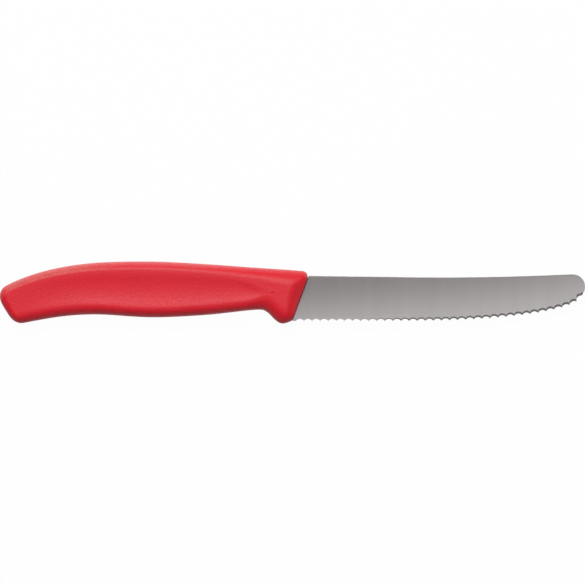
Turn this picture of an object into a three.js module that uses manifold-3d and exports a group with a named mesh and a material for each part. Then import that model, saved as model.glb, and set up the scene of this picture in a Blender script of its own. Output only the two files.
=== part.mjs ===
// A table knife with a wavy edge and a round tip.
// It has two pieces: a steel blade, and a handle moulded over the blade's hidden tang.
// Millimetres. The knife lies on its side: X from butt to tip, Y from edge to spine, Z through the thickness.
// It is drawn from the heel, where the handle meets the edge line, with Z = 0 in the middle of the steel.
import * as THREE from "three";
import { mergeVertices } from "three/addons/utils/BufferGeometryUtils.js";
import Module from "manifold-3d";

const { lerp, smoothstep, smootherstep, degToRad } = THREE.MathUtils;

// Blade, seen from its side
const BLADE_LENGTH = 109.9; // heel to tip
const BLADE_HEIGHT = 17; // edge line to spine at the handle
const SPINE_DIP = 0.62; // the spine sinks this much towards mid blade
const SPINE_RISE = 0.56; // and ends this much above its start
const SPINE_LOW = 51; // lowest point of the spine, from the tip
const TIP_RADIUS = 4.75;
const TIP_TURN = degToRad(43); // the tip's arc runs this far below its centre's level
const BELLY_LENGTH = 66; // stretch before the tip where the edge curves up
const BELLY_POWER = 2.15; // above 2 the belly stays straight for longer and turns up later

// Blade, through its thickness
const STRIP = 1.5; // sheet thickness, kept by the tang
const SPINE_THICKNESS = 1.4; // after grinding, at the handle
const EDGE_THICKNESS = 0.5; // after grinding, at the tooth points

// Wavy teeth, ground from the upper side only
const FIRST_TOOTH = 1.2; // plain edge between heel and first tooth point
const TOOTH_PITCH = 3.02;
const TOOTH_DEPTH = 0.8;
const TOOTH_GRIND = degToRad(48); // lean of the grinding wheel

// Tang
const HEEL_DEPTH = 3.2; // the heel's cut-off corner goes this far into the handle
const HEEL_RISE = 3.6; // and this far up
const SPINE_DEPTH = 6.4; // the spine goes this far into the handle
const SHOULDER = 2.5; // length of the slope from blade to tang
const TANG_LENGTH = 62; // heel to tang end
const TANG_MIDDLE = 11.7; // height of its centre line over the edge line
const TANG_ROOT_HEIGHT = 9;
const TANG_END_HEIGHT = 7;
const TANG_CHAMFER = 2;
const LOCK_HOLE = 4.6; // diameter
const LOCK_FRONT = 17; // front hole, from the heel
const LOCK_BACK = 13; // back hole, from the tang's end
const CLEARANCE = 0.3; // between steel and plastic, all round

// Handle, seen from its side: heights are over the edge line
const HANDLE_LENGTH = 110.1; // butt to heel
const FRONT_SLANT = degToRad(20); // the front leans towards the tip at the top
const BOLSTER_LIP = 1.55; // plastic above the spine at the front
const BOLSTER_CORNER = 2.1;
const BACK_SLOPE = 0.085; // fall of the back towards the front, over the bolster
const HEEL_CORNER = 0.8;
const HEEL_LIFT = 0.05; // the sharp heel corner lies this far over the edge line
const GUARD_DROP = 0.95; // the finger guard hangs this far below the edge line
const GUARD_LOW = 3.2; // its lowest point, from the heel
const GUARD_LENGTH = 12.5; // heel to the neck behind the guard
const NECK_BOTTOM = 4.25;
const NECK_HEIGHT = 15.7;
const PALM_PLACE = 53; // fullest section, from the heel
const PALM_BOTTOM = 1.38;
const PALM_HEIGHT = 21;
const BACK_CROWN = 0.25; // bulge of the back over a straight line from palm to neck
const UNDER_SAG = 0.55; // and of the underside below such a line
const WAIST_PLACE = 36; // underside hollow behind the palm, from the butt
const WAIST_BOTTOM = 2.46;

// Butt: its slanted end, with the corners given before they are rounded
const BUTT_TOP = 11.15;
const BUTT_BOTTOM = -1.41;
const BUTT_TOP_OVERHANG = 1.9; // beyond the rounded end
const BUTT_BOTTOM_SETBACK = 5.75;
const BUTT_TOP_CORNER = 4.5;
const BUTT_BOTTOM_CORNER = 5;
const BUTT_EDGE = 3.4; // rounding of the butt's long edges
const BUTT_BACK = [[7.7, 6.6], [19, 3.05], [34, 0.65]]; // distance from the butt, fall below the palm's top
const BUTT_UNDERSIDE = [[13.4, 0.12], [24.6, 1.86]]; // distance from the butt, height

// Handle, across its thickness
const BUTT_WIDTH = 11.6;
const PALM_WIDTH = 13.5;
const NECK_WIDTH = 12.3;
const BOLSTER_WIDTH = 13.3;
const BOLSTER_PLACE = 3.5; // its fullest section, from the heel
const BUTT_TOP_ROLL = 3; // heights of the rounded back and underside
const PALM_TOP_ROLL = 3.4;
const BOLSTER_TOP_ROLL = 9.5;
const BUTT_UNDER_ROLL = 4.3;
const UNDER_ROLL = 3.9;
const BOLSTER_UNDER_ROLL = 6.5;
const ROLL_POWER = 2.25; // 2 is an ellipse, more is squarer
const ROLL_SHARE = 0.49; // most of a section's height that one roll may take
const ROLL_GROWTH = 3.5; // power by which the upper roll grows from the palm to the front
const GUARD_ROLL_START = 17; // the lower roll grows from here, behind the heel
const GUARD_ROLL_END = 6; // to here

// Hollow flank for the fingers, which ends behind the guard in a round nose
const HOLLOW_SHARE = 0.045; // depth as a share of the flank's height
const HOLLOW_SPAN = [0.13, 0.97]; // where it begins and ends, as shares down the flank
const UPPER_CREASE = 0.5; // these two soften its edges, as shares of its depth
const LOWER_CREASE = 0.3;
const HOLLOW_NOSE = [-10.4, 7];
const HOLLOW_RADIUS = 3.7; // of the nose
const HOLLOW_RUNOUT = 3.5;

// Bevel that leads the bolster down to the blade: two planes that meet on the flank
const BEVEL_PLACE = [-0.1, 10.9];
const BEVEL_LOWER = [-1.25, 0.12]; // rise along X and Y of the plane below that place
const BEVEL_UPPER = [-0.85, 0.6]; // and of the plane above it
const BEVEL_SOFTNESS = 2.6; // where bevel and flank are this close they run into each other

// Moulding mark on the upper flank of the bolster
const MARK_PLACE = [-7.6, 10.6];
const MARK_WIDTH = 0.9;
const MARK_DEPTH = 0.4;

// Fineness
const TOOTH_FACETS = 4; // pairs of facets in each scallop
const ARC_FACETS = 9;
const BELLY_FACETS = 60;
const ROLL_FACETS = 7;
const FLANK_FACETS = 10;
const GUARD_POINTS = 4;
const CORNER_STATIONS = 8;
const GRIP_STATIONS = 32;
const GUARD_STATIONS = 20;
const FRONT_STATIONS = 16;
const GUARD_ZONE = 22; // these two are measured back from the front, along the top
const FRONT_ZONE = 7;

const BEYOND = 5; // how far a cutter reaches past what it cuts

const wasm = await Module();
wasm.setup();

const point = (x, y) => new THREE.Vector2(x, y);
const frontAt = (y) => y * Math.tan(FRONT_SLANT);
const taper = (SPINE_THICKNESS - EDGE_THICKNESS) / 2 / BLADE_HEIGHT; // of one ground face

// A closed geometry as a solid, and a solid as a geometry.
function solid(geometry) {
  geometry.deleteAttribute("normal");
  geometry.deleteAttribute("uv");
  const { attributes, index } = mergeVertices(geometry);
  const vertProperties = attributes.position.array;
  const triVerts = new Uint32Array(index.array);
  return new wasm.Manifold(new wasm.Mesh({ numProp: 3, vertProperties, triVerts }));
}

function geometryOf(made) {
  const { vertProperties, triVerts } = made.getMesh();
  const geometry = new THREE.BufferGeometry();
  geometry.setAttribute("position", new THREE.BufferAttribute(vertProperties, 3));
  geometry.setIndex(new THREE.BufferAttribute(triVerts, 1));
  geometry.computeVertexNormals();
  return geometry;
}

// A flat outline as a plate, half its thickness on each side of Z = 0.
function plate(shape, thickness, curveSegments = ARC_FACETS) {
  const geometry = new THREE.ExtrudeGeometry(shape, { depth: thickness, curveSegments, bevelEnabled: false });
  return geometry.translate(0, 0, -thickness / 2);
}

// An outline that runs anticlockwise, with every side moved out by a distance.
function grown(corners, by) {
  const outward = (a, b) => point(b.y - a.y, a.x - b.x).normalize();
  return corners.map((corner, i) => {
    const before = outward(corners.at(i - 1), corner);
    const after = outward(corner, corners[(i + 1) % corners.length]);
    const mitre = by / (1 + before.dot(after));
    return corner.clone().addScaledVector(before.add(after), mitre);
  });
}

// The tip's arc, and the end of the edge on that arc.
const tipCentre = point(BLADE_LENGTH - TIP_RADIUS, BLADE_HEIGHT + SPINE_RISE - TIP_RADIUS);
const edgeEnd = point(Math.cos(TIP_TURN), -Math.sin(TIP_TURN)).multiplyScalar(TIP_RADIUS).add(tipCentre);

// Carries a path along the straight edge and up the belly, a quarter of a stretched ellipse.
function alongEdge(path) {
  const start = BLADE_LENGTH - BELLY_LENGTH;
  path.lineTo(start, 0);
  for (let i = 1; i <= BELLY_FACETS; i++) {
    const turn = (i / BELLY_FACETS) * (Math.PI / 2);
    const share = Math.sin(turn) ** (2 / BELLY_POWER);
    path.lineTo(lerp(start, edgeEnd.x, share), edgeEnd.y * (1 - Math.cos(turn)));
  }
  return path;
}

// The steel inside the handle: full height behind the front, then a shoulder and a tapered tang.
function tangCorners() {
  const rootTop = TANG_MIDDLE + TANG_ROOT_HEIGHT / 2;
  const rootBottom = TANG_MIDDLE - TANG_ROOT_HEIGHT / 2;
  const endTop = TANG_MIDDLE + TANG_END_HEIGHT / 2;
  const endBottom = TANG_MIDDLE - TANG_END_HEIGHT / 2;
  const spineStart = frontAt(BLADE_HEIGHT);
  return [
    point(0, 0),
    point(spineStart, BLADE_HEIGHT),
    point(spineStart - SPINE_DEPTH, BLADE_HEIGHT),
    point(spineStart - SPINE_DEPTH - SHOULDER, rootTop),
    point(TANG_CHAMFER - TANG_LENGTH, endTop),
    point(-TANG_LENGTH, endTop - TANG_CHAMFER),
    point(-TANG_LENGTH, endBottom + TANG_CHAMFER),
    point(TANG_CHAMFER - TANG_LENGTH, endBottom),
    point(-HEEL_DEPTH - SHOULDER, rootBottom),
    point(-HEEL_DEPTH, HEEL_RISE),
  ];
}

// The two round holes that lock the tang, smaller by the clearance where they shape the plastic posts.
function lockHoles(shrink) {
  return [-LOCK_FRONT, LOCK_BACK - TANG_LENGTH].map((x) =>
    new THREE.Path().absarc(x, TANG_MIDDLE, LOCK_HOLE / 2 - shrink, 0, 2 * Math.PI),
  );
}

// Outline of the whole stamping before it is ground.
function stampingShape() {
  const shape = alongEdge(new THREE.Shape().moveTo(0, 0));
  shape.absarc(tipCentre.x, tipCentre.y, TIP_RADIUS, -TIP_TURN, Math.PI / 2);
  const [, spineStart, ...inside] = tangCorners();
  shape.splineThru([
    point(BLADE_LENGTH - SPINE_LOW / 2, BLADE_HEIGHT - SPINE_DIP / 3),
    point(BLADE_LENGTH - SPINE_LOW, BLADE_HEIGHT - SPINE_DIP),
    point((BLADE_LENGTH - SPINE_LOW) / 2, BLADE_HEIGHT - SPINE_DIP / 2),
    spineStart,
  ]);
  inside.forEach((corner) => shape.lineTo(corner.x, corner.y));
  shape.holes = lockHoles(0);
  return shape;
}

// What the grinding takes off one face: a slab on the tapered blade, from the handle's front to past the tip.
function grindingSlab(side) {
  const low = -BEYOND;
  const high = BLADE_HEIGHT + BEYOND;
  const past = BLADE_LENGTH + BEYOND;
  const shape = new THREE.Shape([
    point(frontAt(low), low),
    point(past, low),
    point(past, high),
    point(frontAt(high), high),
  ]);
  const tilt = new THREE.Matrix4().makeShear(0, 0, 0, side * taper, 0, 0);
  const middle = (side * (BEYOND + EDGE_THICKNESS)) / 2;
  return plate(shape, BEYOND).applyMatrix4(tilt).translate(0, 0, middle);
}

// One comb that cuts all scallops: arcs between equally spaced points of the edge, leaning with the wheel.
// The stretch in Y makes up for the lean across the tapered face, so the arcs stand true on the lower one.
function toothComb() {
  const edge = alongEdge(new THREE.Path().moveTo(FIRST_TOOTH, 0));
  const tips = edge.getSpacedPoints(Math.round(edge.getLength() / TOOTH_PITCH));
  const comb = new THREE.Shape().moveTo(FIRST_TOOTH, 0);
  tips.slice(1).forEach((end, i) => {
    const start = tips[i];
    const half = end.distanceTo(start) / 2;
    const radius = (half ** 2 + TOOTH_DEPTH ** 2) / (2 * TOOTH_DEPTH);
    const along = end.clone().sub(start).normalize();
    const centre = start.clone().lerp(end, 0.5);
    centre.add(point(-along.y, along.x).multiplyScalar(TOOTH_DEPTH - radius));
    const from = start.clone().sub(centre).angle();
    const to = end.clone().sub(centre).angle();
    comb.absarc(centre.x, centre.y, radius, from, to, true);
  });
  comb.lineTo(BLADE_LENGTH + BEYOND, edgeEnd.y);
  comb.lineTo(BLADE_LENGTH + BEYOND, -BEYOND);
  comb.lineTo(FIRST_TOOTH, -BEYOND);
  const rise = Math.tan(TOOTH_GRIND);
  const lean = new THREE.Matrix4().makeShear(0, 0, 0, 0, 0, rise);
  const lift = (rise * EDGE_THICKNESS) / 2;
  const cutter = plate(comb, 2 * STRIP, TOOTH_FACETS).scale(1, 1 + rise * taper, 1);
  return cutter.applyMatrix4(lean).translate(0, lift, 0);
}

function blade() {
  const cuts = [grindingSlab(1), grindingSlab(-1), toothComb()];
  return cuts.reduce((steel, cut) => steel.subtract(solid(cut)), solid(plate(stampingShape(), STRIP)));
}

// The handle's two outlines, each from its sharp corner at the butt to its sharp corner at the front.
const butt = -HANDLE_LENGTH;
const palmTop = PALM_BOTTOM + PALM_HEIGHT;
const neckTop = NECK_BOTTOM + NECK_HEIGHT;
const frontTop = BLADE_HEIGHT + BOLSTER_LIP;
const halfway = -(PALM_PLACE + GUARD_LENGTH) / 2;

function smoothLine(...corners) {
  const points = corners.map(([x, y]) => new THREE.Vector3(x, y, 0));
  return new THREE.CatmullRomCurve3(points, false, "centripetal");
}

const backLine = smoothLine(
  [butt - BUTT_TOP_OVERHANG, BUTT_TOP],
  ...BUTT_BACK.map(([along, fall]) => [butt + along, palmTop - fall]),
  [-PALM_PLACE, palmTop],
  [halfway, (palmTop + neckTop) / 2 + BACK_CROWN],
  [-GUARD_LENGTH, neckTop],
  [0, frontTop + BACK_SLOPE * frontAt(frontTop)],
  [frontAt(frontTop), frontTop],
);

// The back of the guard swings down from the neck in an S.
const guardBack = Array.from({ length: GUARD_POINTS }, (_, i) => {
  const share = (i + 1) / (GUARD_POINTS + 1);
  return [-lerp(GUARD_LENGTH, GUARD_LOW, share), lerp(NECK_BOTTOM, -GUARD_DROP, smootherstep(share, 0, 1))];
});

const underLine = smoothLine(
  [butt + BUTT_BOTTOM_SETBACK, BUTT_BOTTOM],
  ...BUTT_UNDERSIDE.map(([along, height]) => [butt + along, height]),
  [butt + WAIST_PLACE, WAIST_BOTTOM],
  [-PALM_PLACE, PALM_BOTTOM],
  [halfway, (PALM_BOTTOM + NECK_BOTTOM) / 2 - UNDER_SAG],
  [-GUARD_LENGTH, NECK_BOTTOM],
  ...guardBack,
  [-GUARD_LOW, -GUARD_DROP],
  [0, HEEL_LIFT],
);

// How much of a sharp corner its rounding takes away, measured along the end, at a depth behind that end.
function cornerCut(radius, opening, depth) {
  const reach = radius / Math.tan(opening / 2);
  if (depth >= reach * Math.sin(opening)) return 0;
  return reach - Math.sqrt(radius ** 2 - (radius - depth) ** 2) - depth / Math.tan(opening);
}

// One end of the handle, at the start or the finish of its outlines, with the rounding of its two corners.
function handleEnd(place, topCorner, underCorner) {
  const top = backLine.getPoint(place);
  const inwards = place === 0 ? 1 : -1;
  const along = underLine.getPoint(place).sub(top).normalize();
  const normal = new THREE.Vector3(-along.y, along.x, 0).multiplyScalar(inwards);
  const opening = (line, side) => line.getTangent(place).multiplyScalar(inwards).angleTo(side);
  const topOpening = opening(backLine, along);
  const underOpening = opening(underLine, along.clone().negate());
  const depth = (p) => Math.max(0, p.clone().sub(top).dot(normal));
  return {
    depth,
    topCut: (p) => cornerCut(topCorner, topOpening, depth(p)),
    underCut: (p) => cornerCut(underCorner, underOpening, depth(p)),
  };
}

const buttEnd = handleEnd(0, BUTT_TOP_CORNER, BUTT_BOTTOM_CORNER);
const frontEnd = handleEnd(1, BOLSTER_CORNER, HEEL_CORNER);

// Half width of the body at its fullest, before the hollow and the bevel.
function halfWidth(x) {
  if (x < -PALM_PLACE) return lerp(BUTT_WIDTH, PALM_WIDTH, smoothstep(x, butt, -PALM_PLACE)) / 2;
  if (x < -GUARD_LENGTH) return lerp(PALM_WIDTH, NECK_WIDTH, smoothstep(x, -PALM_PLACE, -GUARD_LENGTH)) / 2;
  return lerp(NECK_WIDTH, BOLSTER_WIDTH, smoothstep(x, -GUARD_LENGTH, -BOLSTER_PLACE)) / 2;
}

// How much of the finger hollow there is: none at the butt, all of it in the grip, none past its nose.
function hollowReach(x, y) {
  const start = smoothstep(x, butt, butt + WAIST_PLACE);
  const end = HOLLOW_NOSE[0] - (y - HOLLOW_NOSE[1]) ** 2 / (2 * HOLLOW_RADIUS);
  return start * (1 - smoothstep(x, end - HOLLOW_RUNOUT, end + HOLLOW_RUNOUT));
}

// The lower of two heights, with the corner where they meet rounded over a band of the given width.
function softMin(a, b, softness) {
  const overlap = Math.max(0, softness - Math.abs(a - b)) / softness;
  return Math.min(a, b) - (overlap ** 2 * softness) / 4;
}

// The hollow's form from the flank's upper edge, at share 0, to its lower edge, at share 1: a parabola.
function hollowSag(share) {
  const [begin, end] = HOLLOW_SPAN;
  const down = (share - begin) / (end - begin);
  return -softMin(0, -4 * down * (1 - down), lerp(UPPER_CREASE, LOWER_CREASE, share));
}

// The flank's height once the bevel has taken off all above its two planes.
function bevelled(flank, x, y) {
  const [lower, upper] = [BEVEL_LOWER, BEVEL_UPPER].map(
    ([alongX, alongY]) => BOLSTER_WIDTH / 2 + alongX * (x - BEVEL_PLACE[0]) + alongY * (y - BEVEL_PLACE[1]),
  );
  const bevel = -softMin(-lower, -upper, BEVEL_SOFTNESS);
  return Math.max(0, softMin(flank, bevel, BEVEL_SOFTNESS));
}

// One section of the handle as a ring of points: from the back down one flank, and up the other again.
function section(place) {
  const top = backLine.getPointAt(place);
  const under = underLine.getPointAt(place);
  const up = top.clone().sub(under).normalize();
  const edgeDepth = Math.min(buttEnd.depth(top), BUTT_EDGE);
  const edgeCut = BUTT_EDGE - Math.sqrt(BUTT_EDGE ** 2 - (BUTT_EDGE - edgeDepth) ** 2);
  top.addScaledVector(up, -buttEnd.topCut(top) - frontEnd.topCut(top));
  under.addScaledVector(up, buttEnd.underCut(under) + frontEnd.underCut(under));

  const height = top.distanceTo(under);
  const middle = (top.x + under.x) / 2;
  const fromButt = smoothstep(middle, butt, -PALM_PLACE);
  const toFront = Math.max(0, (middle + PALM_PLACE) / (PALM_PLACE + frontAt(frontTop)));
  const palmRoll = lerp(BUTT_TOP_ROLL, PALM_TOP_ROLL, fromButt);
  const topRoll = Math.min(lerp(palmRoll, BOLSTER_TOP_ROLL, toFront ** ROLL_GROWTH), height * ROLL_SHARE);
  const gripRoll = lerp(BUTT_UNDER_ROLL, UNDER_ROLL, fromButt);
  const toGuard = smoothstep(middle, -GUARD_ROLL_START, -GUARD_ROLL_END);
  const underRoll = Math.min(lerp(gripRoll, BOLSTER_UNDER_ROLL, toGuard), height * ROLL_SHARE);
  const hollow = HOLLOW_SHARE * (height - topRoll - underRoll);

  const at = (rise, fullness, sag) => {
    const p = under.clone().addScaledVector(up, rise);
    const flank = (halfWidth(p.x) - edgeCut) * fullness - hollow * hollowReach(p.x, p.y) * sag;
    return p.setZ(bevelled(flank, p.x, p.y));
  };
  const roll = (i) => {
    const turn = ((i / ROLL_FACETS) * Math.PI) / 2;
    return [Math.cos(turn), Math.sin(turn)].map((share) => share ** (2 / ROLL_POWER));
  };

  const side = [];
  for (let i = 0; i < ROLL_FACETS; i++) {
    const [rise, fullness] = roll(i);
    side.push(at(height - topRoll * (1 - rise), fullness, 0));
  }
  for (let i = 0; i < FLANK_FACETS; i++) {
    const share = i / FLANK_FACETS;
    side.push(at(lerp(height - topRoll, underRoll, share), 1, hollowSag(share)));
  }
  for (let i = ROLL_FACETS; i >= 0; i--) {
    const [rise, fullness] = roll(i);
    side.push(at(underRoll * (1 - rise), fullness, 0));
  }
  const back = side.slice(1, -1).reverse();
  return [...side, ...back.map((p) => new THREE.Vector3(p.x, p.y, -p.z))];
}

// Where the sections stand, as shares of the back's length: crowded at the butt, the guard and the front.
function stations() {
  const length = backLine.getLength();
  const spread = (from, to, count) => Array.from({ length: count }, (_, i) => lerp(from, to, i / count));
  const rounding = Math.max(BUTT_TOP_CORNER, BUTT_BOTTOM_CORNER);
  const places = [
    ...spread(0, Math.PI / 2, CORNER_STATIONS).map((turn) => rounding * (1 - Math.cos(turn))),
    ...spread(rounding, length - GUARD_ZONE, GRIP_STATIONS),
    ...spread(length - GUARD_ZONE, length - FRONT_ZONE, GUARD_STATIONS),
    ...spread(length - FRONT_ZONE, length, FRONT_STATIONS),
    length,
  ];
  return places.map((place) => place / length);
}

// A skin over all sections, closed by a flat face at each end.
function handleBody() {
  const rings = stations().map(section);
  const around = rings[0].length;
  const vertices = rings.flat();
  const index = [];
  const pair = (ring, j) => [ring * around + j, ring * around + ((j + 1) % around)];
  for (let ring = 0; ring + 1 < rings.length; ring++) {
    for (let j = 0; j < around; j++) {
      const [a, b] = pair(ring, j);
      const [c, d] = pair(ring + 1, j);
      index.push(a, b, c, b, d, c);
    }
  }
  const close = (ring, facing) => {
    const sum = rings[ring].reduce((total, p) => total.add(p), new THREE.Vector3());
    const centre = vertices.push(sum.divideScalar(around)) - 1;
    for (let j = 0; j < around; j++) {
      const [a, b] = pair(ring, j);
      index.push(centre, ...(facing > 0 ? [a, b] : [b, a]));
    }
  };
  close(0, -1);
  close(rings.length - 1, 1);
  return new THREE.BufferGeometry().setFromPoints(vertices).setIndex(index);
}

// The tang's own shape grown by the clearance, with a post left standing in each of its holes.
function tangPocket() {
  const shape = new THREE.Shape(grown(tangCorners(), CLEARANCE));
  shape.holes = lockHoles(CLEARANCE);
  return solid(plate(shape, STRIP + 2 * CLEARANCE));
}

function mouldingMark() {
  const [x, y] = MARK_PLACE;
  const floor = halfWidth(x) - MARK_DEPTH;
  const drill = new THREE.CylinderGeometry(MARK_WIDTH / 2, MARK_WIDTH / 2, BEYOND, 2 * ROLL_FACETS);
  return solid(drill.rotateX(Math.PI / 2).translate(x, y, floor + BEYOND / 2));
}

function handle() {
  const cuts = [tangPocket(), mouldingMark()];
  return cuts.reduce((plastic, cut) => plastic.subtract(cut), solid(handleBody()));
}

const steel = new THREE.MeshStandardMaterial({ color: 0x9c9899, roughness: 0.35, metalness: 1 });
const redPlastic = new THREE.MeshStandardMaterial({ color: 0xd8353f, roughness: 0.55, metalness: 0 });

const knife = new THREE.Group();
for (const [name, made, material] of [
  ["blade", blade(), steel],
  ["handle", handle(), redPlastic],
]) {
  const mesh = new THREE.Mesh(geometryOf(made), material);
  mesh.name = name;
  knife.add(mesh);
}

// The origin goes to the middle of the surface that the knife lies on.
const box = new THREE.Box3().setFromObject(knife);
const centre = box.getCenter(new THREE.Vector3());
for (const mesh of knife.children) mesh.position.set(-centre.x, -centre.y, -box.min.z);

export default knife;
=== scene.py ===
import math

import bpy
import numpy as np
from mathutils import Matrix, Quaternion, Vector


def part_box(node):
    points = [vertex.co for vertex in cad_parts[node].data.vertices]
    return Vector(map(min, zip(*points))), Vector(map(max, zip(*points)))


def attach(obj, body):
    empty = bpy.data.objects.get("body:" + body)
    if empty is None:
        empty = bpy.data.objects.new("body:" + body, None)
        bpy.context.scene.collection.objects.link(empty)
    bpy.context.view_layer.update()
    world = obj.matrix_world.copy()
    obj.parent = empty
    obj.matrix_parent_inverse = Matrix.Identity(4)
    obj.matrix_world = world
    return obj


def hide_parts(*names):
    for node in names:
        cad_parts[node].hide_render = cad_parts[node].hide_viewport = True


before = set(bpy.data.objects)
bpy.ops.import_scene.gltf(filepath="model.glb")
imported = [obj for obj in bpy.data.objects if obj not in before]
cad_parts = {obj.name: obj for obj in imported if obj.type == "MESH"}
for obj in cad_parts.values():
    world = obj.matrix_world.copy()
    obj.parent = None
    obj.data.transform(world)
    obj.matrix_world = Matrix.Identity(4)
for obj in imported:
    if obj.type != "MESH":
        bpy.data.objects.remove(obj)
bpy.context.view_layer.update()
scene = bpy.context.scene

MM = 0.001

# The knife is drawn in millimetres from its heel. X goes to the tip, Y to the spine, and Z is 0 in the
# middle of the steel.

# Blade, from its side
BLADE_LENGTH = 109.9
BLADE_HEIGHT = 17.0
SPINE_DIP = 0.62  # how far the spine sinks below its start
SPINE_RISE = 0.56  # how far it ends above its start
SPINE_LOW = 51.0  # distance of its lowest point from the tip
TIP_RADIUS = 4.75
TIP_TURN = math.radians(43)  # how far the tip's arc runs on below its foremost point
BELLY_LENGTH = 66.0
BELLY_POWER = 2.15  # of the belly's superellipse
# Blade, through its thickness
STRIP = 1.5
SPINE_THICKNESS = 1.4
EDGE_THICKNESS = 0.5
GRIND_BULGE = 0.16  # the ground faces are this much fuller than flat, half way up
SPINE_ROUND = 0.02
# Wavy teeth
FIRST_TOOTH = 1.2
TOOTH_PITCH = 3.02
TOOTH_DEPTH = 0.8
TOOTH_FACET = (0.05, 0.55, 0.9)  # height of the ground facets: near the heel, at the belly, at the tip
FACET_GROWTH = 22.0  # from here on, measured from the heel, the facets grow
FACET_FADE = 0.33  # how far an arc must face the grinding wheel to have all of its facet
WHEEL_TURN = 0.45  # how far the wheel turns with the edge
FACET_SLOPE = 0.7
FACET_START = 0.05  # depth of a facet that has no height
FACET_END = 1.0  # how far the last facet runs on round the tip
# Tang, as corners of its lower and upper side
TANG_LOWER = [(-62.0, 10.2), (-60.0, 8.2), (-5.7, 7.2), (-3.2, 3.6), (0.0, 0.0)]
TANG_UPPER = [(-62.0, 13.2), (-60.0, 15.2), (-2.71, 16.2), (-0.21, 17.0), (6.19, 17.0)]

# Handle, from its side
HANDLE_LENGTH = 110.1
FRONT_SLANT = math.radians(20)
FRONT_TOP = 18.55  # height of the front's upper corner
BOLSTER_CORNER = 2.1  # rounding of that corner
BACK_SLOPE = 0.085  # fall of the back towards it
HEEL_CORNER = 0.8  # rounding of the front's lower corner
HEEL_LIFT = 0.05  # height of that corner
GUARD_DROP = 0.95  # how far the guard goes below the edge
GUARD_LOW = 3.2  # how far behind the heel it is lowest
GUARD_LENGTH = 12.5  # from the heel back to the neck
NECK_BOTTOM = 4.25
NECK_TOP = 19.95
PALM_PLACE = 53.0  # distance of the highest place behind the heel
PALM_BOTTOM = 1.38
PALM_TOP = 22.38
BACK_CROWN = 0.25  # how far the back rises between palm and neck
UNDER_SAG = 0.55  # and how far the underside sags there
WAIST_PLACE = 36.0  # distance of the underside's waist from the butt
WAIST_BOTTOM = 2.46
BUTT_TOP = 11.15
BUTT_BOTTOM = -1.41
BUTT_TOP_OVERHANG = 1.9  # of the sharp upper corner, before its rounding
BUTT_BOTTOM_SETBACK = 5.75  # and of the lower one
BUTT_TOP_CORNER = 4.5
BUTT_BOTTOM_CORNER = 5.0
BUTT_EDGE = 3.4  # rounding of the butt's long edges
BUTT_BACK = [(7.7, 6.6), (19.0, 3.05), (34.0, 0.65)]  # distance from the butt, fall below the palm
BUTT_UNDERSIDE = [(13.4, 0.12), (24.6, 1.86)]  # distance from the butt, height
# Handle, across its thickness
BUTT_WIDTH = 11.6
PALM_WIDTH = 13.5
NECK_WIDTH = 12.3
BOLSTER_WIDTH = 13.3
BOLSTER_PLACE = 3.5  # how far behind the heel the bolster is widest
BUTT_TOP_ROLL = 3.0
PALM_TOP_ROLL = 3.4
BOLSTER_TOP_ROLL = 9.5
BUTT_UNDER_ROLL = 4.3
UNDER_ROLL = 3.9
BOLSTER_UNDER_ROLL = 6.5
ROLL_POWER = 2.25  # of the rolls' superellipse
ROLL_SHARE = 0.49  # the most that a roll may take of a section's height
ROLL_GROWTH = 3.5  # power by which the upper roll grows from the palm to the front
GUARD_ROLL = (-17.0, -6.0)  # where the lower roll grows
HOLLOW_SHARE = 0.045  # depth of the finger hollow, as a share of the flank's height
HOLLOW_SPAN = (0.13, 0.97)  # where it begins and ends, as shares down the flank
HOLLOW_NOSE = (-10.4, 7.0)
HOLLOW_RADIUS = 3.7  # of its nose
HOLLOW_RUNOUT = 3.5  # half of the length over which it fades there
UPPER_CREASE = 0.5  # softness of the hollow's upper and lower crease, as shares of its depth
LOWER_CREASE = 0.3
BEVEL_PLACE = (-0.1, 10.9)  # where the bevel's two planes meet on the flank
BEVEL_LEVEL = 6.65  # height of that point
BEVEL_LOWER = (-1.25, 0.12)  # rise along X and Y of the plane below it and of the one above
BEVEL_UPPER = (-0.85, 0.6)
BEVEL_SOFTNESS = 2.6  # depth of the band over which its corners are rounded
SEAL = 0.3  # width and height of the moulding's seal line on the steel
SEAL_ROWS = (0.02, 0.06, 1.0)  # shares of that width: the first of the handle's own colour, the rest painted shade
MARK_PLACE = (-7.6, 10.6)
MARK_WIDTH = 0.9
MARK_DEPTH = 0.4
MARK_WALL = (0.55, 1.1)  # where the moulding mark's wall rises, as shares of its radius
# Painted sheen, a highlight painted paler into the colour: on the handle's back, most at the butt and
# less along the grip, and on its bevel.
SHEEN_BUTT = (-95.0, -60.0)  # where the butt's painted sheen fades
SHEEN_GRIP = (10.0, 40.0)  # where the grip's painted sheen grows, measured back from the heel
SHEEN_BACK = 0.2  # the grip's share of the butt's painted sheen
SHEEN_END = 5.0  # length of the butt over which the painted sheen begins
SHEEN_BEVEL = 0.2

# How finely the skins are divided
CURVE_POINTS = 60  # from one corner of a smooth line to the next
GUARD_POINTS = 4
BUTT_SECTIONS = 28
GRIP_STEP = 0.8
BOLSTER_LENGTH = 24.0  # of the handle's front, in finer steps
BOLSTER_STEP = 0.2
LIP_LENGTH = 5.0  # of the last stretch, in the finest steps
LIP_SECTIONS = 50
ROLL_POINTS = 22
FLANK_POINTS = 46
HEEL_POINTS = 6
TOOTH_POINTS = 20
BELLY_POINTS = 400
END_POINTS = 6
TIP_POINTS = 200
FACE_POINTS = 26
SPINE_POINTS = 5
TANG_SECTIONS = 40
SHARP_BEND = math.radians(28)  # from here on a bend is shaded as an edge

BUTT = -HANDLE_LENGTH
HALFWAY = -(PALM_PLACE + GUARD_LENGTH) / 2
QUARTER_TURN = math.pi / 2
OTHER_SIDE = slice(-2, 0, -1)  # a flank's points the other way round, without its two ends

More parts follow.
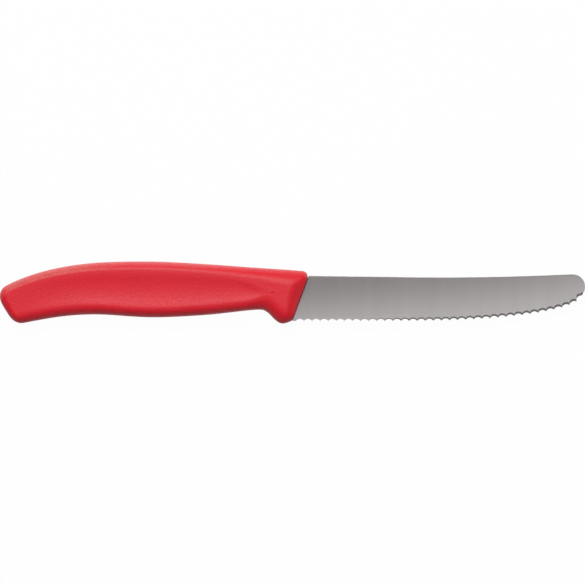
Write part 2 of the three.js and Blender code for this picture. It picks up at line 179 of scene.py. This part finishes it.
# The drawing's place in the part's frame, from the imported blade
blade_low, blade_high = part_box("blade")
OFFSET = np.array([
    blade_high.x / MM - BLADE_LENGTH,
    blade_low.y / MM,
    (blade_low.z + blade_high.z) / 2 / MM,
])


def front_at(y):
    """X of the handle's front at a height: the height times the tangent of the front's slant."""
    return y * math.tan(FRONT_SLANT)


def smoothstep(x, low, high):
    """0 below low, 1 above high, and 3t^2 - 2t^3 between."""
    t = np.clip((x - low) / (high - low), 0, 1)
    return t * t * (3 - 2 * t)


def soft_min(a, b, softness):
    """The lower of two heights, with the corner where they meet rounded over a band of the given width:
    a parabola takes off a quarter of that width at the corner."""
    overlap = np.maximum(softness - np.abs(a - b), 0) / softness
    return np.minimum(a, b) - overlap**2 * softness / 4


def smooth_line(corners):
    """A curve through corners: each span is a cubic whose end slopes come from the corners around it,
    weighted by the square root of their distances (a centripetal spline)."""
    p = np.array(corners, float)
    p = np.vstack([2 * p[0] - p[1], p, 2 * p[-1] - p[-2]])
    gap = np.sqrt(np.linalg.norm(np.diff(p, axis=0), axis=1))[:, None]
    before, here, after = gap[:-2], gap[1:-1], gap[2:]
    p0, p1, p2, p3 = p[:-3], p[1:-2], p[2:-1], p[3:]
    leave = here * ((p1 - p0) / before - (p2 - p0) / (before + here)) + p2 - p1
    arrive = here * ((p3 - p2) / after - (p3 - p1) / (here + after)) + p2 - p1
    t = np.linspace(0, 1, CURVE_POINTS, endpoint=False)[None, :, None]
    p1, p2, leave, arrive = (a[:, None] for a in (p1, p2, leave, arrive))
    square = 3 * (p2 - p1) - 2 * leave - arrive
    cube = 2 * (p1 - p2) + leave + arrive
    curve = p1 + t * leave + t**2 * square + t**3 * cube
    return np.vstack([curve.reshape(-1, 2), p[-2]])


def lengths(line):
    """Distance of every point of a line from its start, measured along it."""
    return np.concatenate([[0], np.cumsum(np.linalg.norm(np.diff(line, axis=0), axis=1))])


def along(line, share):
    """Points of a line at shares of its length."""
    run = lengths(line)
    return np.stack([np.interp(share * run[-1], run, line[:, k]) for k in (0, 1)], axis=-1)


def piece(name, rings, material, slot, **shades):
    """A closed mesh over a grid of points in the drawing's millimetres: rings[i, j] runs along the piece
    with i and closes on itself with j, and a fan closes the first and the last ring. A flat map gives X
    and Y in metres, and each shade, a value for every point of the grid, becomes an attribute."""
    count, around = rings.shape[:2]
    points = (np.concatenate([rings.reshape(-1, 3), rings[[0, -1]].mean(axis=1)]) + OFFSET) * MM
    j = np.arange(around)
    k = (j + 1) % around
    start = np.arange(count - 1)[:, None] * around
    quads = np.stack([start + j, start + k, start + around + k, start + around + j], axis=-1)
    first = np.stack([np.full(around, count * around), k, j], axis=-1)
    end = (count - 1) * around
    last = np.stack([np.full(around, count * around + 1), end + j, end + k], axis=-1)
    mesh = bpy.data.meshes.new(name)
    mesh.from_pydata(points, [], [*quads.reshape(-1, 4).tolist(), *first.tolist(), *last.tolist()])
    corner = np.empty(len(mesh.loops), np.int32)
    mesh.loops.foreach_get("vertex_index", corner)
    mesh.uv_layers.new(name="flat").data.foreach_set("uv", points[corner, :2].ravel())
    for shade, values in shades.items():
        per_point = np.concatenate([values.ravel(), values[[0, -1]].mean(axis=1)])
        mesh.attributes.new(shade, "FLOAT", "POINT").data.foreach_set("value", per_point)
    mesh.shade_smooth()
    mesh.set_sharp_from_angle(angle=SHARP_BEND)
    mesh.materials.append(material)
    obj = bpy.data.objects.new(name, mesh)
    scene.collection.objects.link(obj)
    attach(obj, "root")
    return obj


# Handle

def corner_cut(radius, opening, depth):
    """How much of a sharp corner its rounding takes away along the end, at a depth behind that end: what
    lies between the corner's two sides and the circle that touches both."""
    reach = radius / math.tan(opening / 2)
    inside = np.clip(depth, 0, radius)
    cut = reach - np.sqrt(radius**2 - (radius - inside) ** 2) - depth / math.tan(opening)
    return np.where(depth < reach * math.sin(opening), cut, 0)


def end_rounding(top, under, last, top_corner, under_corner):
    """What the rounded corners of one end take off the back and off the underside, at every section, and
    how deep behind that end the back lies there."""
    here, inwards = (-1, -1) if last else (0, 1)
    end = under[here] - top[here]
    end = end / np.linalg.norm(end)
    normal = inwards * np.array([-end[1], end[0]])

    def opening(line, side):
        """Angle of the corner between the end and a line that leaves it."""
        away = line[here + inwards] - line[here]
        return math.acos(away @ side / np.linalg.norm(away))

    top_depth, under_depth = (np.maximum(0, (line - top[here]) @ normal) for line in (top, under))
    cut_top = corner_cut(top_corner, opening(top, end), top_depth)
    cut_under = corner_cut(under_corner, opening(under, -end), under_depth)
    return cut_top, cut_under, top_depth


def half_width(x):
    """Half width of the handle at its fullest: smooth steps from butt to palm, to neck, to bolster."""
    back = BUTT_WIDTH + (PALM_WIDTH - BUTT_WIDTH) * smoothstep(x, BUTT, -PALM_PLACE)
    neck = (NECK_WIDTH - PALM_WIDTH) * smoothstep(x, -PALM_PLACE, -GUARD_LENGTH)
    bolster = (BOLSTER_WIDTH - NECK_WIDTH) * smoothstep(x, -GUARD_LENGTH, -BOLSTER_PLACE)
    return (back + neck + bolster) / 2


def hollow_reach(x, y):
    """How much of the finger hollow there is: none at the butt, all in the grip, and none past its nose,
    a parabola of the nose's radius."""
    end = HOLLOW_NOSE[0] - (y - HOLLOW_NOSE[1]) ** 2 / (2 * HOLLOW_RADIUS)
    fade = 1 - smoothstep(x, end - HOLLOW_RUNOUT, end + HOLLOW_RUNOUT)
    return fade * smoothstep(x, BUTT, BUTT + WAIST_PLACE)


def handle_lines():
    """The back and the underside of the handle, from butt to front: smooth lines through named places.
    The underside goes down to the guard by 6t^5 - 15t^4 + 10t^3."""
    t = np.linspace(0, 1, GUARD_POINTS + 2)[1:-1]
    swing = t**3 * (t * (6 * t - 15) + 10)
    guard_x = (GUARD_LENGTH - GUARD_LOW) * t - GUARD_LENGTH
    guard_y = NECK_BOTTOM - (NECK_BOTTOM + GUARD_DROP) * swing
    back = smooth_line([
        (BUTT - BUTT_TOP_OVERHANG, BUTT_TOP),
        *((BUTT + x, PALM_TOP - fall) for x, fall in BUTT_BACK),
        (-PALM_PLACE, PALM_TOP),
        (HALFWAY, (PALM_TOP + NECK_TOP) / 2 + BACK_CROWN),
        (-GUARD_LENGTH, NECK_TOP),
        (0, FRONT_TOP + BACK_SLOPE * front_at(FRONT_TOP)),
        (front_at(FRONT_TOP), FRONT_TOP),
    ])
    underside = smooth_line([
        (BUTT + BUTT_BOTTOM_SETBACK, BUTT_BOTTOM),
        *((BUTT + x, y) for x, y in BUTT_UNDERSIDE),
        (BUTT + WAIST_PLACE, WAIST_BOTTOM),
        (-PALM_PLACE, PALM_BOTTOM),
        (HALFWAY, (PALM_BOTTOM + NECK_BOTTOM) / 2 - UNDER_SAG),
        (-GUARD_LENGTH, NECK_BOTTOM),
        *zip(guard_x, guard_y),
        (-GUARD_LOW, -GUARD_DROP),
        (0, HEEL_LIFT),
    ])
    return back, underside


def seal_rings(lip):
    """The seal line: straight rows from the moulding's last ring, held to the height of the seal above
    the steel, to a ring on the steel, a seal's width further on."""
    mouth = STRIP / 2
    foot = np.concatenate([lip[..., :2], np.clip(lip[..., 2:], -mouth - SEAL, mouth + SEAL)], axis=-1)
    toe = np.concatenate([lip[..., :2] + (SEAL, 0), np.clip(lip[..., 2:], -mouth, mouth)], axis=-1)
    return foot + (toe - foot) * np.array(SEAL_ROWS)[:, None, None]


def worn_back(x, rise):
    """How much painted sheen the back gets, a highlight painted paler: smooth steps along it, and across
    its roll 4r(1 - r) at the share r of the roll's height. The rest of a flank gets none."""
    lengthways = 1 - smoothstep(x, *SHEEN_BUTT) + SHEEN_BACK * smoothstep(-x, *SHEEN_GRIP)
    across = np.concatenate([4 * rise * (1 - rise), np.zeros(x.shape[1] - len(rise))])
    return np.minimum(lengthways, 1) * smoothstep(x, BUTT, BUTT + SHEEN_END) * across


def handle_rings():
    """The handle's skin, where it is the seal line with its painted shade, and how much painted sheen it
    has. The skin has one ring for each section between the back and the underside. Down each flank a
    ring is a superellipse roll, a hollow stretch and a second roll. The hollow is a parabola, 4d(1 - d)
    deep at the share d of its span, softened where it leaves the flank. The bevel to the blade is the
    lower of the flank and two planes that rise from the front. Sections lie closer together at the butt,
    by a cosine, and at the front."""
    back_line, under_line = handle_lines()
    length = lengths(back_line)[-1]
    rounding = max(BUTT_TOP_CORNER, BUTT_BOTTOM_CORNER)
    share = np.concatenate([
        rounding * (1 - np.cos(np.linspace(0, QUARTER_TURN, BUTT_SECTIONS, endpoint=False))),
        np.arange(rounding, length - BOLSTER_LENGTH, GRIP_STEP),
        np.arange(length - BOLSTER_LENGTH, length - LIP_LENGTH, BOLSTER_STEP),
        np.linspace(length - LIP_LENGTH, length, LIP_SECTIONS),
    ]) / length
    top, under = along(back_line, share), along(under_line, share)
    up = (top - under) / np.linalg.norm(top - under, axis=1)[:, None]
    butt_top, butt_under, depth = end_rounding(top, under, False, BUTT_TOP_CORNER, BUTT_BOTTOM_CORNER)
    front_top, front_under, _ = end_rounding(top, under, True, BOLSTER_CORNER, HEEL_CORNER)
    edge = np.minimum(depth, BUTT_EDGE)
    edge_cut = BUTT_EDGE - np.sqrt(BUTT_EDGE**2 - (BUTT_EDGE - edge) ** 2)
    top = top - up * (butt_top + front_top)[:, None]
    under = under + up * (butt_under + front_under)[:, None]

    height = np.linalg.norm(top - under, axis=1)
    middle = (top[:, 0] + under[:, 0]) / 2
    from_butt = smoothstep(middle, BUTT, -PALM_PLACE)
    to_front = np.maximum(0, (middle + PALM_PLACE) / (PALM_PLACE + front_at(FRONT_TOP))) ** ROLL_GROWTH
    palm_roll = BUTT_TOP_ROLL + (PALM_TOP_ROLL - BUTT_TOP_ROLL) * from_butt
    top_roll = np.minimum(palm_roll + (BOLSTER_TOP_ROLL - palm_roll) * to_front, height * ROLL_SHARE)
    to_guard = smoothstep(middle, *GUARD_ROLL)
    grip_roll = BUTT_UNDER_ROLL + (UNDER_ROLL - BUTT_UNDER_ROLL) * from_butt
    under_roll = np.minimum(grip_roll + (BOLSTER_UNDER_ROLL - grip_roll) * to_guard, height * ROLL_SHARE)

    turn = np.linspace(0, QUARTER_TURN, ROLL_POINTS)
    rise, full = np.cos(turn) ** (2 / ROLL_POWER), np.sin(turn) ** (2 / ROLL_POWER)
    s = np.linspace(0, 1, FLANK_POINTS + 2)[1:-1]
    down = (s - HOLLOW_SPAN[0]) / (HOLLOW_SPAN[1] - HOLLOW_SPAN[0])
    sag = -soft_min(0, -4 * down * (1 - down), UPPER_CREASE + (LOWER_CREASE - UPPER_CREASE) * s)
    tall, upper, lower = (a[:, None] for a in (height, top_roll, under_roll))
    flank = tall - upper - lower
    level = np.hstack([tall - upper * (1 - rise), tall - upper - flank * s, (lower * (1 - rise))[:, ::-1]])
    fullness = np.concatenate([full, np.ones_like(s), full[::-1]])
    sag = np.concatenate([np.zeros_like(full), sag, np.zeros_like(full)])

    xy = under[:, None] + up[:, None] * level[..., None]
    set_back = SEAL * smoothstep(middle, -BOLSTER_PLACE, middle[-1])
    x, y = xy[..., 0] - set_back[:, None], xy[..., 1]
    full_z = (half_width(x) - edge_cut[:, None]) * fullness - HOLLOW_SHARE * flank * hollow_reach(x, y) * sag
    below, above = (
        BEVEL_LEVEL + rise_x * (x - BEVEL_PLACE[0]) + rise_y * (y - BEVEL_PLACE[1])
        for rise_x, rise_y in (BEVEL_LOWER, BEVEL_UPPER)
    )
    bevel = -soft_min(-below, -above, BEVEL_SOFTNESS)
    z = np.maximum(soft_min(full_z, bevel, BEVEL_SOFTNESS), 0)
    from_mark = np.hypot(x - MARK_PLACE[0], y - MARK_PLACE[1]) / (MARK_WIDTH / 2)
    pit = MARK_DEPTH * (1 - smoothstep(from_mark, *MARK_WALL))
    near = np.stack([x, y, z - pit], axis=-1)
    far = np.stack([x, y, -z], axis=-1)
    skin = np.concatenate([near, far[:, OTHER_SIDE]], axis=1)
    seal = seal_rings(skin[-1:])
    rings = np.concatenate([skin, seal])

    # The seal line's rings past its first are painted dark: painted shade in the joint of moulding and
    # steel.
    sealed = np.zeros(rings.shape[:2])
    sealed[1 - len(seal):] = 1
    # A highlight painted paler into the colour: across the back's roll, and over the bevel the deeper it
    # cuts.
    worn = np.maximum(worn_back(x, rise), SHEEN_BEVEL * smoothstep(full_z - z, 0, BEVEL_SOFTNESS))
    worn = np.concatenate([worn, worn[:, OTHER_SIDE]], axis=1)
    worn = np.concatenate([worn, worn[-1:].repeat(len(seal), 0)])
    return rings, sealed, worn


# Blade

def blade_outline():
    """The wavy edge, the grinding wheel's way into it, how far it faces that way, the height of the tooth
    facets along it, and the spine, point by point from heel to tip. Without teeth the edge is a straight
    stretch and a quarter of a superellipse; between evenly spaced points of it every tooth is an arc of
    one depth. The spine is a smooth line that ends in the tip's arc. It runs along with the teeth, and
    round the tip during the last one."""
    tip = np.array([BLADE_LENGTH - TIP_RADIUS, BLADE_HEIGHT + SPINE_RISE - TIP_RADIUS])
    end = tip + TIP_RADIUS * np.array([math.cos(TIP_TURN), -math.sin(TIP_TURN)])
    start = BLADE_LENGTH - BELLY_LENGTH
    turn = np.linspace(0, QUARTER_TURN, BELLY_POINTS)
    belly_x = start + (end[0] - start) * np.sin(turn) ** (2 / BELLY_POWER)
    belly = np.stack([belly_x, end[1] * (1 - np.cos(turn))], axis=-1)
    edge = np.vstack([[FIRST_TOOTH, 0], belly])

    teeth = round(lengths(edge)[-1] / TOOTH_PITCH)
    points = along(edge, np.linspace(0, 1, teeth + 1))
    chord = np.diff(points, axis=0)
    half = np.linalg.norm(chord, axis=1)[:, None] / 2
    direction = chord / (2 * half)
    inward = np.stack([-direction[:, 1], direction[:, 0]], axis=-1)
    radius = (half**2 + TOOTH_DEPTH**2) / (2 * TOOTH_DEPTH)
    swing = np.linspace(-1, 1, TOOTH_POINTS, endpoint=False)[None] * np.arcsin(half / radius)
    run = radius * np.sin(swing)
    deep = np.sqrt(radius**2 - run**2) - radius + TOOTH_DEPTH
    middles = (points[:-1] + points[1:])[:, None] / 2
    arcs = (middles + run[..., None] * direction[:, None] + deep[..., None] * inward[:, None]).reshape(-1, 2)
    way = WHEEL_TURN * inward + (1 - WHEEL_TURN) * np.array([0, 1])
    way = way / np.linalg.norm(way, axis=1)[:, None]
    lengthways, inwards = ((side * way).sum(1)[:, None] for side in (direction, inward))
    faced = np.sin(swing) * lengthways + np.cos(swing) * inwards

    heel_x = np.linspace(0, FIRST_TOOTH, HEEL_POINTS, endpoint=False)
    heel = np.stack([heel_x, np.zeros(HEEL_POINTS)], axis=-1)
    last_turn = FACET_END / TIP_RADIUS - TIP_TURN
    bend = np.linspace(-TIP_TURN, last_turn, END_POINTS, endpoint=False)[:, None]
    last = tip + TIP_RADIUS * np.hstack([np.cos(bend), np.sin(bend)])
    wavy = np.vstack([heel, arcs, last])
    facing = np.concatenate([np.zeros(HEEL_POINTS), faced.ravel(), (tip - last) @ way[-1] / TIP_RADIUS])
    way = np.vstack([
        way[:1].repeat(HEEL_POINTS, 0),
        way.repeat(TOOTH_POINTS, 0),
        way[-1:].repeat(END_POINTS, 0),
    ])
    lift = np.interp(wavy[:, 0], [FACET_GROWTH, start, BLADE_LENGTH], TOOTH_FACET)
    lift = lift * np.clip(facing / FACET_FADE, 0, 1)

    spine = smooth_line([
        (front_at(BLADE_HEIGHT), BLADE_HEIGHT),
        ((BLADE_LENGTH - SPINE_LOW) / 2, BLADE_HEIGHT - SPINE_DIP / 2),
        (BLADE_LENGTH - SPINE_LOW, BLADE_HEIGHT - SPINE_DIP),
        (BLADE_LENGTH - SPINE_LOW / 2, BLADE_HEIGHT - SPINE_DIP / 3),
        (tip[0], tip[1] + TIP_RADIUS),
    ])
    bend = np.linspace(QUARTER_TURN, last_turn, TIP_POINTS)[1:, None]
    arc = tip + TIP_RADIUS * np.hstack([np.cos(bend), np.sin(bend)])
    line = np.vstack([spine, arc])
    length = lengths(line)[-1]
    last_tooth = HEEL_POINTS + len(arcs) - TOOTH_POINTS
    tip_start = np.interp(wavy[last_tooth, 0] - TOOTH_PITCH, spine[:, 0], lengths(spine))
    step = np.arange(len(wavy))
    round_tip = np.maximum(step - last_tooth, 0) / (len(wavy) - last_tooth)
    place = np.minimum(step / last_tooth, 1) * tip_start + round_tip**2 * (length - tip_start)
    return wavy, way, facing, lift, along(line, place / length)


def blade_rings():
    """The blade's skin: one ring for each point of the edge, up one ground face to the spine, over its
    rounded corners and down the other face. A face is as thick as the grinding leaves it, plus a low
    bulge: a parabola between the spine and a belly line that rises with the cube of the distance. Each
    tooth has a facet in the upper face, an even slope down from a line that lies the wheel's way above the
    edge. Where the tip leaves less room, a facet takes at most a half of it and a corner a quarter."""
    wavy, way, facing, lift, spine = blade_outline()
    taper = (SPINE_THICKNESS - EDGE_THICKNESS) / 2 / BLADE_HEIGHT
    tall = np.linalg.norm(spine - wavy, axis=1)
    lift = np.minimum(lift, tall / 2)
    facet = wavy + lift[:, None] * way
    corner = np.minimum(SPINE_ROUND, tall / 4)[:, None]
    course = np.gradient(spine, axis=0)
    outward = np.stack([-course[:, 1], course[:, 0]], axis=-1) / np.linalg.norm(course, axis=1)[:, None]
    shoulder = spine - outward * corner

    def face(start, side):
        """Rows from a start line up to the rounded spine."""
        share = np.linspace(0, 1, FACE_POINTS)[None, :, None]
        xy = start[:, None] * (1 - share) + shoulder[:, None] * share
        y = xy[..., 1]
        belly = np.maximum(xy[..., 0] - BLADE_LENGTH + BELLY_LENGTH, 0) / BELLY_LENGTH
        above_edge = y - wavy[-1, 1] * belly**3
        below_top = BLADE_HEIGHT + SPINE_RISE - y
        half = EDGE_THICKNESS / 2 + taper * y + GRIND_BULGE * 4 * above_edge * below_top / BLADE_HEIGHT**2
        return np.concatenate([xy, side * half[..., None]], axis=-1)

    upper, lower = face(facet, 1), face(wavy, -1)
    turn = np.linspace(0, QUARTER_TURN, SPINE_POINTS + 1)[1:]
    over = shoulder[:, None] + outward[:, None] * corner[..., None] * np.sin(turn)[:, None]
    half = upper[:, -1:, 2] - corner * (1 - np.cos(turn))
    spine_upper = np.concatenate([over, half[..., None]], axis=-1)
    spine_lower = np.concatenate([over, -half[..., None]], axis=-1)
    fall = FACET_START + FACET_SLOPE * lift * facing
    foot = np.concatenate([wavy, upper[:, 0, 2:] - fall[:, None]], axis=-1)[:, None]
    exposed = np.concatenate([foot, upper, spine_upper, spine_lower[:, ::-1], lower[:, ::-1]], axis=1)

    share = np.linspace(0, 1, TANG_SECTIONS, endpoint=False)
    low, high = along(np.array(TANG_LOWER), share), along(np.array(TANG_UPPER), share)
    rows = np.linspace(0, 1, FACE_POINTS + SPINE_POINTS)[None, :, None]
    side = low[:, None] * (1 - rows) + high[:, None] * rows
    flat = np.full(side.shape[:2] + (1,), STRIP / 2)
    keel = np.concatenate([low, np.zeros((TANG_SECTIONS, 1))], axis=-1)[:, None]
    tang_upper = np.concatenate([side, flat], axis=-1)
    tang_lower = np.concatenate([side, -flat], axis=-1)
    tang = np.concatenate([keel, tang_upper, tang_lower[:, ::-1]], axis=1)
    return np.concatenate([tang, exposed])[:, ::-1]


# Materials

# The real grain is about 0.1 mm wide and the real grinding lines some hundredths of a millimetre. Both
# are drawn coarser so that they show.
GRAIN_WIDTH = 0.8 * MM
CLOUD_WIDTH = 9 * MM
LINE_WIDTH = 0.3 * MM
LINE_STRETCH = 100  # how much longer a grinding line is than wide
BAND_WIDTH = 5 * MM

# A colour mix has its share, its two colours and its result at these sockets, whose names repeat.
SHARE = 0
UNDER = 6
OVER = 7
MIXED = 2


def linear(hex_colour):
    """An sRGB hex colour as linear red, green and blue, by the sRGB curve, with alpha 1."""
    parts = [int(hex_colour[i:i + 2], 16) / 255 for i in (1, 3, 5)]
    return [c / 12.92 if c <= 0.04045 else ((c + 0.055) / 1.055) ** 2.4 for c in parts] + [1]


def add(tree, kind, inputs=None, **settings):
    """Adds a shader node with its settings. An input is given by name or number, as a value or as a socket
    to link."""
    node = tree.nodes.new("ShaderNode" + kind)
    for name, value in settings.items():
        setattr(node, name, value)
    for name, value in (inputs or {}).items():
        if isinstance(value, bpy.types.NodeSocket):
            tree.links.new(value, node.inputs[name])
        else:
            node.inputs[name].default_value = value
    return node


def new_material(name):
    """A material with its node tree and its shader."""
    material = bpy.data.materials.new(name)
    material.use_nodes = True
    tree = material.node_tree
    return material, tree, tree.nodes["Principled BSDF"]


def moulded_polypropylene():
    """Red polypropylene from a spark-eroded mould: an even matt skin of tiny grains, with a pale sheen at
    a glance. Pale flecks on the grain are painted glints, a paler back and bevel, mottled by the grain,
    are a painted sheen, and the seal line is painted dark as the shade in the joint."""
    material, tree, shader = new_material("moulded_polypropylene")
    place = add(tree, "TexCoord").outputs["Object"]
    grain = add(tree, "TexNoise", {
        "Vector": place, "Scale": 1 / GRAIN_WIDTH, "Detail": 3.0, "Roughness": 0.6,
    }).outputs["Fac"]
    cloud = add(tree, "TexNoise", {"Vector": place, "Scale": 1 / CLOUD_WIDTH, "Detail": 3.0}).outputs["Fac"]
    # Pale flecks where the grain is high: painted glints.
    painted_glint = add(tree, "MapRange", {
        "Value": grain, "From Min": 0.62, "From Max": 0.78, "To Min": 0.0, "To Max": 0.16,
    }).outputs[0]
    mottle = add(tree, "MapRange", {
        "Value": grain, "From Min": 0.35, "From Max": 0.65, "To Min": 0.5, "To Max": 1.3,
    }).outputs[0]
    # The back and the bevel painted paler, mottled by the grain: a painted sheen.
    worn = add(tree, "Attribute", attribute_name="worn").outputs["Fac"]
    grainy_sheen = add(tree, "Math", {0: worn, 1: mottle}, operation="MULTIPLY").outputs[0]
    # The seal line painted dark: a painted shade where the moulding meets the steel.
    seal = add(tree, "Attribute", attribute_name="seal").outputs["Fac"]
    colour = linear("#CE1425")
    for share, tint in ((cloud, "#D71629"), (painted_glint, "#EC6A70"), (grainy_sheen, "#CD5652"), (seal, "#560C16")):
        mix = add(tree, "Mix", {SHARE: share, UNDER: colour, OVER: linear(tint)}, data_type="RGBA")
        colour = mix.outputs[MIXED]
    rough = add(tree, "MapRange", {
        "Value": grain, "From Min": 0.3, "From Max": 0.7, "To Min": 0.58, "To Max": 0.44,
    })
    relief = add(tree, "Bump", {"Height": grain, "Strength": 0.3, "Distance": 0.35 * MM})
    tree.links.new(colour, shader.inputs["Base Color"])
    tree.links.new(rough.outputs[0], shader.inputs["Roughness"])
    tree.links.new(relief.outputs[0], shader.inputs["Normal"])
    shader.inputs["IOR"].default_value = 1.49
    shader.inputs["Specular IOR Level"].default_value = 0.33
    shader.inputs["Sheen Weight"].default_value = 0.06
    shader.inputs["Sheen Roughness"].default_value = 0.4
    return material


def ground_steel():
    """Stainless steel ground across the blade: fine lines from edge to spine, which draw highlights out
    along it."""
    material, tree, shader = new_material("ground_stainless_steel")
    place = add(tree, "TexCoord").outputs["Object"]
    stretch = (1, 1 / LINE_STRETCH, 1 / LINE_STRETCH)
    drawn = add(tree, "Mapping", {"Vector": place, "Scale": stretch}).outputs[0]
    lines = add(tree, "TexNoise", {"Vector": drawn, "Scale": 1 / LINE_WIDTH, "Detail": 4.0}).outputs["Fac"]
    bands = add(tree, "TexNoise", {"Vector": drawn, "Scale": 1 / BAND_WIDTH, "Detail": 2.0}).outputs["Fac"]
    tone = add(tree, "Mix", {
        SHARE: bands, UNDER: linear("#BDB8B8"), OVER: linear("#C8C3C3"),
    }, data_type="RGBA")
    rough = add(tree, "MapRange", {
        "Value": lines, "From Min": 0.3, "From Max": 0.7, "To Min": 0.28, "To Max": 0.34,
    })
    relief = add(tree, "Bump", {"Height": lines, "Strength": 0.02, "Distance": 0.02 * MM})
    tangent = add(tree, "Tangent", direction_type="UV_MAP", uv_map="flat")
    tree.links.new(tone.outputs[MIXED], shader.inputs["Base Color"])
    tree.links.new(rough.outputs[0], shader.inputs["Roughness"])
    tree.links.new(relief.outputs[0], shader.inputs["Normal"])
    tree.links.new(tangent.outputs[0], shader.inputs["Tangent"])
    shader.inputs["Metallic"].default_value = 1.0
    shader.inputs["Anisotropic"].default_value = 0.7
    return material


skin, sealed, worn = handle_rings()
# The handle carries painted shade at its seal line and a painted sheen on its back and bevel.
handle = piece("handle_moulding", skin, moulded_polypropylene(), "red_plastic", seal=sealed, worn=worn)
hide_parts("handle")
blade = piece("blade_stamping", blade_rings(), ground_steel(), "steel")
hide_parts("blade")


# Studio, in metres

FLOOR_HALF = 3.0
FLOOR_WHITE = 0.975  # share of plain white in the floor that the camera sees; the rest keeps the shadow
ROOM = 0.15  # level of the room's own light
ROOM_ENDS = 0.015  # and of what comes from the two ends of the table
# What the knife mirrors: a floor that is dark on the near side and overexposed on the far side, and a
# pale far wall, a grey near one and pale ones at the ends. A wall's ramp is in the ray's direction.
NEAR_FLOOR = 0.12
FAR_FLOOR = 3.0
FLOOR_RAMP = (-0.03, 0.045)  # along Y
FAR_WALL = 1.1
FAR_RAMP = (0.35, 1.0)  # in Y
NEAR_WALL = 0.28
NEAR_RAMP = (-0.85, -0.45)  # in Y
END_WALLS = 1.2
END_RAMP = (0.7, 1.0)  # in the square of X


def white_floor():
    """A white sheet under the knife that keeps a faint shadow. In reflections it goes from dark to
    overexposed."""
    low, high = -FLOOR_HALF, FLOOR_HALF
    mesh = bpy.data.meshes.new("floor")
    mesh.from_pydata([(low, low, 0), (high, low, 0), (high, high, 0), (low, high, 0)], [], [(0, 1, 2, 3)])
    material, tree, shader = new_material("white_sheet")
    shader.inputs["Base Color"].default_value = linear("#E0E0E0")
    shader.inputs["Roughness"].default_value = 0.9
    path = add(tree, "LightPath").outputs
    seen = path["Is Camera Ray"]
    mirrored = add(tree, "Math", {0: path["Is Glossy Ray"], 1: path["Is Transmission Ray"]}).outputs[0]
    away = add(tree, "SeparateXYZ", {0: add(tree, "TexCoord").outputs["Object"]}).outputs["Y"]
    lit = add(tree, "MapRange", {
        "Value": away, "From Min": FLOOR_RAMP[0], "From Max": FLOOR_RAMP[1],
        "To Min": NEAR_FLOOR, "To Max": FAR_FLOOR,
    }).outputs[0]
    bright = add(tree, "Mix", {"Factor": seen, "A": lit, "B": 1.0}).outputs[0]
    white = add(tree, "Emission", {"Color": (1, 1, 1, 1), "Strength": bright}).outputs[0]
    share = add(tree, "Math", {0: seen, 1: FLOOR_WHITE, 2: mirrored}, operation="MULTIPLY_ADD").outputs[0]
    blend = add(tree, "MixShader", {0: share, 1: shader.outputs[0], 2: white})
    tree.links.new(blend.outputs[0], tree.nodes["Material Output"].inputs["Surface"])
    mesh.materials.append(material)
    floor = bpy.data.objects.new("floor", mesh)
    scene.collection.objects.link(floor)


def softbox(name, place, aim, turn, size, power):
    """A soft lamp aimed at a point, turned about its own axis by so many degrees."""
    light = bpy.data.lights.new(name, "AREA")
    light.shape = "RECTANGLE"
    light.size, light.size_y = size
    light.energy = power
    lamp = bpy.data.objects.new(name, light)
    lamp.location = place
    facing = (Vector(aim) - Vector(place)).to_track_quat("-Z", "Y")
    lamp.rotation_euler = (facing @ Quaternion((0, 0, 1), math.radians(turn))).to_euler()
    lamp.visible_camera = False
    scene.collection.objects.link(lamp)


def studio_world():
    """Faint room light, less of it from the two ends of the table, and the walls as the knife mirrors
    them. The camera sees plain white."""
    world = bpy.data.worlds.new("studio")
    world.use_nodes = True
    tree = world.node_tree
    way = add(tree, "SeparateXYZ", {0: add(tree, "TexCoord").outputs["Generated"]}).outputs
    end = add(tree, "Math", {0: way["X"], 1: 2.0}, operation="POWER").outputs[0]
    room = add(tree, "MapRange", {"Value": end, "To Min": ROOM, "To Max": ROOM_ENDS}).outputs[0]
    far, near, ends = (
        add(tree, "MapRange", {
            "Value": towards, "From Min": ramp[0], "From Max": ramp[1], "To Min": first, "To Max": last,
        }).outputs[0]
        for towards, ramp, first, last in (
            (way["Y"], FAR_RAMP, 0.0, FAR_WALL),
            (way["Y"], NEAR_RAMP, NEAR_WALL, 0.0),
            (end, END_RAMP, 0.0, END_WALLS),
        )
    )
    sides = add(tree, "Math", {0: far, 1: near}).outputs[0]
    walls = add(tree, "Math", {0: sides, 1: ends}).outputs[0]
    path = add(tree, "LightPath").outputs
    mirrored = add(tree, "Math", {0: path["Is Glossy Ray"], 1: walls}, operation="MULTIPLY").outputs[0]
    white = add(tree, "Math", {0: mirrored, 1: path["Is Camera Ray"]}, operation="MAXIMUM").outputs[0]
    level = add(tree, "Math", {0: room, 1: white}, operation="MAXIMUM").outputs[0]
    background = tree.nodes["Background"]
    tree.links.new(level, background.inputs["Strength"])
    background.inputs["Color"].default_value = (1, 1, 1, 1)
    scene.world = world


white_floor()
studio_world()
softbox("key", place=(-0.08, 0.48, 0.91), aim=(0, 0, 0), turn=0, size=(0.35, 0.3), power=9.4)
softbox("overhead", place=(0.12, -0.375, 1.0), aim=(0.12, -0.375, 0), turn=23, size=(1.2, 0.6), power=2.24)

# The camera looks straight down; the picture's width takes in the knife from butt to tip, in millimetres.
PICTURE_WIDTH = 220.0  # at the height of the steel
CAMERA_HEIGHT = 900.0  # above the steel
camera = bpy.data.cameras.new("camera")
camera.sensor_width = 36.0
camera.lens = camera.sensor_width * CAMERA_HEIGHT / PICTURE_WIDTH
camera_object = bpy.data.objects.new("camera", camera)
camera_object.location = (0, 0, (OFFSET[2] + CAMERA_HEIGHT) * MM)
scene.collection.objects.link(camera_object)
scene.camera = camera_object
scene.view_settings.view_transform = "Standard"
